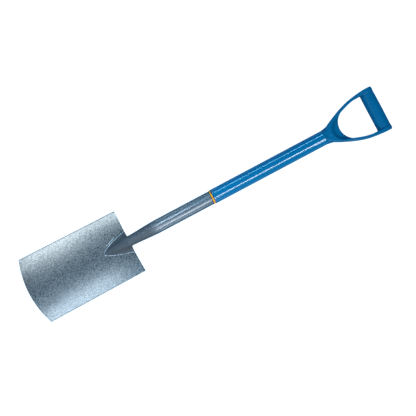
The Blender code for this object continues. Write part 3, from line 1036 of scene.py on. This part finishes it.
@dataclass
class Shaft:
    """The steel tube, the orange ring and the blue sleeve. Rows of points are in millimetres."""

    plan: Plan
    paint: bpy.types.Material
    ring_plastic: bpy.types.Material
    sleeve_plastic: bpy.types.Material
    points: int = 48
    flank_points: int = 15
    edge_points: int = 2
    bore_depth: float = 64 * MM
    taper_length: float = 74 * MM
    straight_steps: int = 14
    taper_steps: int = 16
    taper_clear: float = 3 * MM
    foot_join: Points = ((1.6, 0.1), (0.5, 0.6), (0.0, 1.0))
    foot_steps: int = 22
    foot_run: tuple[float, float] = (0.02, 0.985)
    neck_half_width: float = 11.95 * MM
    neck_top: float = 29 * MM
    neck_bottom: float = 3.4 * MM
    foot_sheet: float = 1.8 * MM
    foot_sunk: float = 0.3 * MM
    flank_pull: tuple[float, float] = (0.65, 0.29)
    flank_fall: tuple[float, float] = (1.6, 0.6)
    ring_centre: float = 206.2 * MM
    ring_width: float = 2.7 * MM
    sleeve_gap: float = 0.4 * MM
    sleeve_hole: float = 4.3 * MM
    ring_crown: Points = (
        (0.0, 15.45), (0.2, 15.7), (0.5, 15.84), (1.35, 15.9), (2.2, 15.84), (2.5, 15.7), (2.7, 15.45)
    )
    sleeve_edge: Points = (
        (0.0, 15.85), (0.12, 16.1), (0.35, 16.22), (0.7, 16.25), (3.0, 16.25), (6.0, 16.25)
    )

    def build(self) -> list[bpy.types.Object]:
        """Models and finishes every piece of the shaft."""
        return [self.tube(), self.ring(), self.sleeve()]

    def round_ring(self, x: float, radius: float | None = None) -> list[Vector]:
        """The tube's section: a circle, narrowing to an upright oval above the blade.

        Args:
            x: The section's place.
            radius: A fixed radius in place of the tube's own.

        Returns:
            The section's points, from the ridge round by +Y.
        """
        share = (x - self.plan.heel) / self.taper_length
        middle = (self.neck_top + self.neck_bottom) / 2
        across = radius or blend(self.neck_half_width, self.plan.tube_radius, share)
        upright = radius or blend(self.neck_top - middle, self.plan.tube_radius, share)
        centre = blend(middle, self.plan.shaft_height, share)
        return [Vector((x, across * sine, centre + upright * cosine)) for cosine, sine in turns(self.points)]

    def foot_ring(self, share: float) -> list[Vector]:
        """The foot's section: a ridge with hollowed flanks that run out to thin edges on the blade.

        Args:
            share: The place along the foot, from the blade's top edge to its point.

        Returns:
            The section's points, from the ridge round by +Y.
        """
        plan = self.plan
        x = plan.heel - plan.foot_length * share
        half = plan.foot_edge(share)
        edge = plan.blade_height(x, half) + self.foot_sheet
        end_top = plan.blade_height(plan.heel - plan.foot_length, 0) + self.foot_sheet
        top = self.neck_top + (end_top - self.neck_top) * share
        near, far = self.flank_pull
        steep, ease = self.flank_fall
        side = []
        for i in range(self.flank_points + 1):
            t = i / self.flank_points
            y = 3 * (1 - t) ** 2 * t * near * half + 3 * (1 - t) * t**2 * far * half + t**3 * half
            side.append(Vector((x, y, top + (edge - top) * t * t * (steep - ease * t))))
        under = self.points // 2 - self.flank_points - self.edge_points
        side.append(Vector((x, half, edge - self.foot_sheet / 2)))
        for i in range(under + 1):
            y = half * (1 - i / under)
            side.append(Vector((x, y, plan.blade_height(x, y) - self.foot_sunk)))
        other = [Vector((x, -point.y, point.z)) for point in reversed(side[1:-1])]
        return side + other

    def tube(self) -> bpy.types.Object:
        """Draws the tube down from its bore in the handle, narrows it and opens it into the V foot."""
        plan = self.plan
        end = plan.shoulder - plan.shoulder_gap
        bore = plan.tube_radius - plan.tube_wall
        taper_end = plan.heel + self.taper_length
        rings = [self.round_ring(end - self.bore_depth, bore), self.round_ring(end, bore)]
        rings += [self.round_ring(end), self.round_ring(end - 1 * MM)]
        for i in range(1, self.straight_steps + 1):
            rings.append(self.round_ring(end + (taper_end - end) * i / self.straight_steps))
        neck = plan.heel + self.taper_clear
        for i in range(1, self.taper_steps + 1):
            rings.append(self.round_ring(taper_end + (neck - taper_end) * i / self.taper_steps))
        first = self.foot_ring(0)
        for x, share in self.foot_join:
            oval = self.round_ring(plan.heel + x * MM)
            rings.append([a.lerp(Vector((a.x, b.y, b.z)), share) for a, b in zip(oval, first)])
        start, reach = self.foot_run
        for _, sine in quarter(self.foot_steps)[1:]:
            rings.append(self.foot_ring(max(reach * sine, start)))
        piece = loft("shaft_tube_steel", rings)
        apply_modifier(piece, "SUBSURF", levels=2, render_levels=2)
        soften(piece, 60)
        return hand_over(piece, "shaft_tube", self.paint)

    def ring(self) -> bpy.types.Object:
        """Turns the ring, with a crowned outside and rounded edges."""
        start = self.plan.heel + self.ring_centre - self.ring_width / 2
        inner = self.plan.tube_radius + 0.05 * MM
        profile = [(start + x, radius) for x, radius in millimetres(self.ring_crown)]
        profile += [(start + self.ring_width, inner), (start, inner)]
        piece = turn("ring_band_plastic", profile, self.plan.axis, Vector((1, 0, 0)), Vector((0, 0, 1)))
        soften(piece, 40)
        return hand_over(piece, "ring_band", self.ring_plastic)

    def sleeve(self) -> bpy.types.Object:
        """Turns the sleeve, its edge at the ring slightly rounded, and cuts the hole for the rivet's head."""
        plan = self.plan
        start = plan.heel + self.ring_centre + self.ring_width / 2 + self.sleeve_gap
        end = plan.shoulder - 0.05 * MM
        inner = plan.tube_radius + 0.1 * MM
        profile = [(start + x, radius) for x, radius in millimetres(self.sleeve_edge)]
        profile += [(end - back, plan.sleeve_radius) for back in (6 * MM, 3 * MM, 0.2 * MM)]
        profile.append((end, plan.sleeve_radius - 0.15 * MM))
        profile += [(end, inner), (start, inner)]
        piece = turn("shaft_sleeve_plastic", profile, plan.axis, Vector((1, 0, 0)), Vector((0, 0, 1)), 128)
        hole = rivet_rings(plan, self.sleeve_hole, 10 * MM, 22 * MM)
        combine(piece, loft("sleeve_hole", hole), Joining.CUT)
        soften(piece, 40)
        return hand_over(piece, "shaft_sleeve", self.sleeve_plastic)


def rivet_rings(plan: Plan, radius: float, start: float, end: float) -> list[list[Vector]]:
    """Two rings of a cylinder on the rivet's axis, which points straight down from the shaft's.

    Args:
        plan: The spade's plan.
        radius: The cylinder's radius.
        start: Its start below the shaft's axis.
        end: Its end below the shaft's axis.

    Returns:
        The two rings.
    """
    rings = []
    for depth in (start, end):
        height = plan.shaft_height - depth
        rings.append([Vector((plan.rivet_x + radius * x, radius * y, height)) for x, y in turns(32)])
    return rings


# The handle: the one-piece moulding and its rivet


@dataclass
class Handle:
    """The blue YD moulding and the rivet that holds it. Rows of points are in millimetres."""

    plan: Plan
    plastic: bpy.types.Material
    rivet_steel: bpy.types.Material
    length: float = 141.2 * MM
    half_width: float = 51.9 * MM
    corner: float = 6 * MM
    grip_centre: float = 125.5 * MM
    grip_half_depth: float = 15 * MM
    arm_half_depth: float = 17 * MM
    arm_depth_start: float = 88 * MM
    crotch_half_depth: float = 13.7 * MM
    crotch_start: float = 1.5 * MM
    crotch_end: float = 38 * MM
    spigot_length: float = 60 * MM
    spigot_bore: float = 10 * MM
    spigot_wall: float = 4 * MM
    gate_mark: float = 13 * MM
    rivet_hole: float = 2.7 * MM
    rivet_shank: float = 2.4 * MM
    rivet_head: float = 4 * MM
    voxel: float = 0.8 * MM
    arm_edge: Points = (
        (1.2, 6), (3.5, 8), (16, 19), (38.6, 30.3), (65, 41), (91, 48.3), (118, 51.6), (133, 51.9)
    )
    neck_flare: Points = (
        (0, 16.25), (2, 16.8), (6, 17.4), (10, 18.2), (14, 19.2), (18, 20.6), (24, 22.8), (30, 25)
    )
    opening_side: Points = ((62.8, 33.9), (75.7, 38.2), (88.7, 41.1), (102, 42.4), (125.5, 42.8))
    opening_bottom: tuple[float, float] = (38.8, 19.1)
    opening_radius: tuple[float, float] = (35.5, 26)
    opening_turn: tuple[float, float] = (62, 68)
    crotch_wall: Points = (
        (0, 0), (1.5, 0.05), (2.8, 0.2), (3.8, 0.45), (4.8, 0.68), (7.5, 0.86), (11, 0.95), (13.7, 1.0)
    )

    def build(self) -> list[bpy.types.Object]:
        """Models and finishes every piece of the handle."""
        return [self.yoke(), self.rivet()]

    def at(self, x: float, y: float, z: float) -> Vector:
        """The frame's point x past the shoulder, y across and z above the shaft's axis."""
        return Vector((self.plan.shoulder + x, y, self.plan.shaft_height + z))

    def plate(self) -> bpy.types.Object:
        """Extrudes the handle's front outline into a plate, deeper than the handle."""
        side = millimetres(smooth_line(self.arm_edge, 5))
        for cosine, sine in quarter(6):
            x = self.length - self.corner * (1 - sine)
            side.append((x, self.half_width - self.corner * (1 - cosine)))
        outline = side + [(x, -y) for x, y in reversed(side)]
        spare = 30 * MM
        return loft("yoke_plate", [[self.at(x, y, z) for x, y in outline] for z in (-spare, spare)])

    def side_block(self) -> bpy.types.Object:
        """Extrudes the handle's side view: a deep neck, flat crotch faces, arms that deepen, a round end."""
        reach = self.length - self.grip_centre
        deep = 25 * MM
        upper = [(-self.spigot_length - 5 * MM, deep), (self.crotch_start, deep)]
        upper += [(self.crotch_start, self.crotch_half_depth), (self.crotch_end, self.crotch_half_depth)]
        for i in range(1, 9):
            x = self.crotch_end + (self.arm_depth_start - self.crotch_end) * i / 8
            upper.append((x, blend(self.crotch_half_depth, self.arm_half_depth, i / 8)))
        for cosine, sine in quarter(16):
            upper.append((self.grip_centre + reach * sine, self.arm_half_depth * cosine))
        outline = upper + [(x, -z) for x, z in reversed(upper[:-1])]
        spare = 60 * MM
        return loft("yoke_side", [[self.at(x, y, z) for x, z in outline] for y in (-spare, spare)])

    def opening(self) -> bpy.types.Object:
        """The hand opening, whose wall at the crotch falls from each flat face to a thinner web."""
        front = smooth_line(self.crotch_wall, 4)
        front.append((30.0, 1.0))
        levels = [(-height, share) for height, share in reversed(front[1:])] + front
        return loft("yoke_opening", [self.opening_ring(height * MM, share) for height, share in levels])

    def opening_ring(self, height: float, share: float) -> list[Vector]:
        """The opening's outline at a height from the handle's middle plane.

        Args:
            height: The height.
            share: How far the outline has drawn back from the middle of the web to the flat face's edge.

        Returns:
            The outline's points.
        """
        pairs = (self.opening_bottom, self.opening_radius, self.opening_turn)
        bottom, radius, half_turn = (web + (face - web) * share for web, face in pairs)
        bottom, radius, half_turn = bottom * MM, radius * MM, math.radians(half_turn)
        steps = 16
        arc = []
        for i in range(-steps, steps + 1):
            angle = half_turn * i / steps
            arc.append((bottom + radius * (1 - math.cos(angle)), radius * math.sin(angle)))
        side = millimetres(smooth_line(self.opening_side, 5))
        side.append((self.length + 5 * MM, side[-1][1]))
        outline = arc + side + [(x, -y) for x, y in reversed(side)]
        return [self.at(x, y, height) for x, y in outline]

    def neck(self) -> bpy.types.Object:
        """Turns the neck, which flares into the crotch, with the hollow spigot that fills the tube's end."""
        outer = self.plan.tube_radius - self.plan.tube_wall - 0.3 * MM
        flare = millimetres(smooth_line(self.neck_flare, 3))
        profile = [(self.neck_flare[-1][0] * MM, 0.0), *reversed(flare), (0.0, outer)]
        profile += [(-self.spigot_length, outer), (-self.spigot_length, self.spigot_bore)]
        profile += [(-self.spigot_wall, self.spigot_bore), (-self.spigot_wall, 0.0)]
        return turn("yoke_neck", profile, self.at(0, 0, 0), Vector((1, 0, 0)), Vector((0, 0, 1)))

    def grip(self) -> bpy.types.Object:
        """Draws the oval grip bar across between the arms, a little fuller in its middle."""
        half = self.half_width - 4 * MM
        reach = self.length - self.grip_centre
        steps = 20
        rings = []
        for i in range(steps + 1):
            along = 2 * i / steps - 1
            swell = 1 - 0.03 * along**2
            around = [(reach * swell * x, self.grip_half_depth * swell * y) for x, y in turns(64)]
            rings.append([self.at(self.grip_centre + x, half * along, z) for x, z in around])
        return loft("yoke_grip", rings)

    def gate(self) -> bpy.types.Object:
        """The small disc that moulding leaves on the front of the crotch."""
        rings = []
        for z, radius in ((-1.0, 2.4), (0.35, 2.3), (0.6, 1.6)):
            height = self.crotch_half_depth + z * MM
            disc = [(radius * MM * x, radius * MM * y) for x, y in turns(24)]
            rings.append([self.at(self.gate_mark + x, y, height) for x, y in disc])
        return loft("yoke_gate", rings)

    def yoke(self) -> bpy.types.Object:
        """Joins the plate to the neck, cuts both to the side view, opens them and adds grip and gate mark."""
        piece = self.plate()
        combine(piece, self.neck(), Joining.ADD)
        combine(piece, self.side_block(), Joining.SHARED)
        combine(piece, self.opening(), Joining.CUT)
        combine(piece, self.grip(), Joining.ADD)
        combine(piece, self.gate(), Joining.ADD)
        hole = rivet_rings(self.plan, self.rivet_hole, 0.0, 22 * MM)
        combine(piece, loft("spigot_hole", hole), Joining.CUT)
        melt(piece, self.voxel, 4)
        piece.name = piece.data.name = "handle_yoke_moulding"
        return hand_over(piece, "handle_yoke", self.plastic)

    def rivet(self) -> bpy.types.Object:
        """Turns the domed rivet that is set from the back of the shaft."""
        plan = self.plan
        under = plan.tube_radius + 0.1 * MM
        shank, head = self.rivet_shank, self.rivet_head
        profile = [(8 * MM, 0.0), (8 * MM, 2.2 * MM), (8.3 * MM, shank), (under, shank), (under, head)]
        for cosine, sine in quarter(8):
            profile.append((under + (0.3 + 0.95 * sine) * MM, head * cosine))
        profile[-1] = (profile[-1][0], 0.0)
        centre = Vector((plan.rivet_x, 0, plan.shaft_height))
        piece = turn("handle_rivet_steel", profile, centre, Vector((0, 0, -1)), Vector((1, 0, 0)), 48)
        soften(piece, 40)
        return hand_over(piece, "handle_rivet", self.rivet_steel)


# The studio: floor, lights and camera


BLUE_GLOW: Glow = (0.25, 0.72, 1.0)
COOL_GLOW: Glow = (0.8, 0.91, 1.0)
PALE_GLOW: Glow = (0.9, 0.97, 0.97)
WARM_GLOW: Glow = (1.0, 0.92, 0.78)


@dataclass(frozen=True)
class Softbox:
    """A soft studio light that lies along the shaft and leans over it from one side."""

    name: str
    side: Side
    lean: float
    start: float
    end: float
    width: float
    watts: float
    distance: float = 1.6
    glow: Glow = (1, 1, 1)

    def build(self) -> bpy.types.Object:
        """Hangs the light facing the shaft's axis."""
        lamp = bpy.data.lights.new(self.name, "AREA")
        lamp.shape = "RECTANGLE"
        lamp.size = self.end - self.start
        lamp.size_y = self.width
        lamp.energy = self.watts
        lamp.color = self.glow
        light = bpy.data.objects.new(self.name, lamp)
        bpy.context.scene.collection.objects.link(light)
        lean = math.radians(self.lean) * -self.side.value
        light.rotation_euler = (lean, 0, 0)
        across = -self.distance * math.sin(lean)
        light.location = ((self.start + self.end) / 2, across, self.distance * math.cos(lean))
        return light


@dataclass
class Studio:
    """A plain floor, soft lights along the shaft and a camera straight above."""

    plan: Plan
    camera_height: float = 1.535
    camera_past_heel: float = 187.1 * MM
    camera_aside: float = -16.6 * MM
    camera_roll: float = math.radians(-28.0)
    metres_per_pixel: float = 2.18 * MM
    picture: int = 416
    sensor: float = 36.0
    floor_size: float = 12.0
    floor_drop: float = 0.2 * MM
    paper: tuple[Colour, Colour] = ((0.13, 0.31, 0.43, 1), (0.14, 0.33, 0.46, 1))
    room_colour: Colour = (0.05, 0.52, 0.95, 1)
    room_light: float = 0.25

    def build(self) -> None:
        """Sets up the whole studio."""
        self.floor()
        self.surroundings()
        for softbox in self.softboxes():
            softbox.build()
            LOG.info("%s hangs %.0f degrees to the %s", softbox.name, softbox.lean, softbox.side.name.lower())
        self.camera()

    def floor(self) -> None:
        """Lays a large floor just under the spade, white to the camera and bluish in its light."""
        clear_selection()
        bpy.ops.mesh.primitive_plane_add(size=self.floor_size, location=(0, 0, -self.floor_drop))
        floor = take_up("studio_floor")
        matt = {"Specular IOR Level": 0.1, "Roughness": 0.9, "Emission Color": (1, 1, 1, 1)}
        wiring, shader, coordinates = new_material("floor_paper", matt)
        seen = wiring.add("ShaderNodeLightPath").outputs["Is Camera Ray"]
        wiring.tree.links.new(seen, shader.inputs["Emission Strength"])
        colour = wiring.mix(wiring.noise(coordinates, 3.0).outputs["Fac"], *self.paper)
        wiring.tree.links.new(colour, shader.inputs["Base Color"])
        floor.data.materials.append(bpy.data.materials["floor_paper"])

    def surroundings(self) -> None:
        """Gives the room a dim bluish light, white to the camera, and shows colours as they are."""
        world = bpy.data.worlds.new("studio_room")
        world.use_nodes = True
        wiring = Wiring(world.node_tree)
        room, output = wiring.tree.nodes["Background"], wiring.tree.nodes["World Output"]
        room.inputs["Color"].default_value = self.room_colour
        room.inputs["Strength"].default_value = self.room_light
        wall = wiring.add("ShaderNodeBackground", {"Color": (1, 1, 1, 1), "Strength": 1.0})
        seen = wiring.add("ShaderNodeLightPath").outputs["Is Camera Ray"]
        both = {0: seen, 1: room.outputs["Background"], 2: wall.outputs["Background"]}
        shown = wiring.add("ShaderNodeMixShader", both)
        wiring.tree.links.new(shown.outputs["Shader"], output.inputs["Surface"])
        scene = bpy.context.scene
        scene.world = world
        scene.view_settings.view_transform = "Standard"
        scene.view_settings.look = "None"

    def softboxes(self) -> list[Softbox]:
        """The lights: strips along the shaft on both sides, and low lamps at the blade and its rims."""
        left, right = Side.LEFT, Side.RIGHT
        return [
            Softbox("right_strip", right, 29, 0.0, 0.8, 0.2, 8.6, glow=PALE_GLOW),
            Softbox("right_tube", right, 45, -0.3, 0.0, 0.09, 6.4),
            Softbox("right_outer_strip", right, 90, -0.3, 0.0, 0.7, 4.6),
            Softbox("right_handle", right, 44, 0.55, 1.05, 0.3, 5.6),
            Softbox("left_strip", left, 49, 0.0, 0.8, 0.11, 5.8, glow=BLUE_GLOW),
            Softbox("left_tube", left, 42, -0.3, -0.02, 0.12, 0.7, glow=COOL_GLOW),
            Softbox("left_outer_strip", left, 90, -0.25, -0.02, 0.6, 2.7, glow=WARM_GLOW),
            Softbox("right_blade", right, 20, -0.32, -0.12, 0.14, 0.49, 0.55),
            Softbox("left_blade", left, 22, -0.33, -0.05, 0.12, 1.5, 0.55, COOL_GLOW),
            Softbox("left_rim", left, 72, -0.45, -0.22, 0.2, 0.4, 0.6, COOL_GLOW),
            Softbox("right_rim", right, 72, -0.45, -0.22, 0.2, 0.4, 0.6, COOL_GLOW),
        ]

    def camera(self) -> None:
        """Puts the camera above the spade, turned as the photograph is."""
        lens = bpy.data.cameras.new("photo_camera")
        lens.sensor_width = self.sensor
        lens.lens = self.camera_height / (self.metres_per_pixel * self.picture) * self.sensor
        camera = bpy.data.objects.new("photo_camera", lens)
        bpy.context.scene.collection.objects.link(camera)
        height = self.plan.shaft_height + self.camera_height
        camera.location = (self.plan.heel + self.camera_past_heel, self.camera_aside, height)
        camera.rotation_euler = (0, 0, self.camera_roll)
        bpy.context.scene.camera = camera


def finishes(plan: Plan) -> dict[str, bpy.types.Material]:
    """Mixes the paints and plastics of every piece.

    Args:
        plan: The spade's plan.

    Returns:
        The materials by name.
    """
    ring_start = plan.heel + Shaft.ring_centre - Shaft.ring_width / 2
    ring_end = ring_start + Shaft.ring_width
    kinds = (
        HammerPaint("blade_paint", (0.026, 0.037, 0.045, 1), (0.185, 0.222, 0.248, 1), toe_shade=WeldToeShade(plan)),
        HammerPaint(
            "tube_paint",
            (0.072, 0.1, 0.128, 1),
            (0.138, 0.18, 0.22, 1),
            cell=2.6 * MM,
            depth=0.018 * MM,
            roughness=0.32,
            metallic=0.5,
            coat=0.6,
            ring_shade=ring_start - 1.1 * MM,
            forged_end=plan.heel + 80 * MM,
        ),
        # A lighter copy of the hammer paint: the beads' bright lines are painted highlight.
        HammerPaint(
            "weld_paint",
            (0.2, 0.27, 0.33, 1),
            (0.42, 0.51, 0.58, 1),
            cell=1.8 * MM,
            depth=0.02 * MM,
            roughness=0.22,
        ),
        MouldedPlastic(
            "sleeve_plastic",
            (0.0003, 0.148, 0.337, 1),
            (0.0003, 0.141, 0.324, 1),
            (0.02, 0.24, 0.42, 1),
            roughness=0.12,
            specular=0.9,
            depth=0.0005 * MM,
            scuffing=0.03,
            ring_shade=ring_end + 1.3 * MM,
        ),
        MouldedPlastic(
            "handle_plastic",
            (0.0003, 0.127, 0.288, 1),
            (0.0003, 0.12, 0.274, 1),
            (0.01, 0.17, 0.32, 1),
            roughness=0.3,
            specular=0.14,
        ),
        MouldedPlastic(
            "ring_plastic",
            (1.0, 0.41, 0.0005, 1),
            (0.96, 0.35, 0.0005, 1),
            (0.9, 0.48, 0.03, 1),
            roughness=0.35,
            specular=0.1,
        ),
        PlatedSteel("rivet_steel", (0.62, 0.62, 0.61, 1), (0.42, 0.42, 0.42, 1)),
    )
    return {finish.name: finish.material() for finish in kinds}


def main() -> None:
    """Builds the spade's sub-assemblies in order, then the studio."""
    logging.basicConfig(level=logging.INFO, format="%(message)s")
    plan = Plan.from_frame()
    look = finishes(plan)
    assemblies = (
        DiggingHead(plan, look["blade_paint"], look["weld_paint"]),
        Shaft(plan, look["tube_paint"], look["ring_plastic"], look["sleeve_plastic"]),
        Handle(plan, look["handle_plastic"], look["rivet_steel"]),
    )
    for assembly in assemblies:
        pieces = assembly.build()
        LOG.info("%s: %d pieces", type(assembly).__name__, len(pieces))
    Studio(plan).build()


if __name__ == "__main__":
    main()
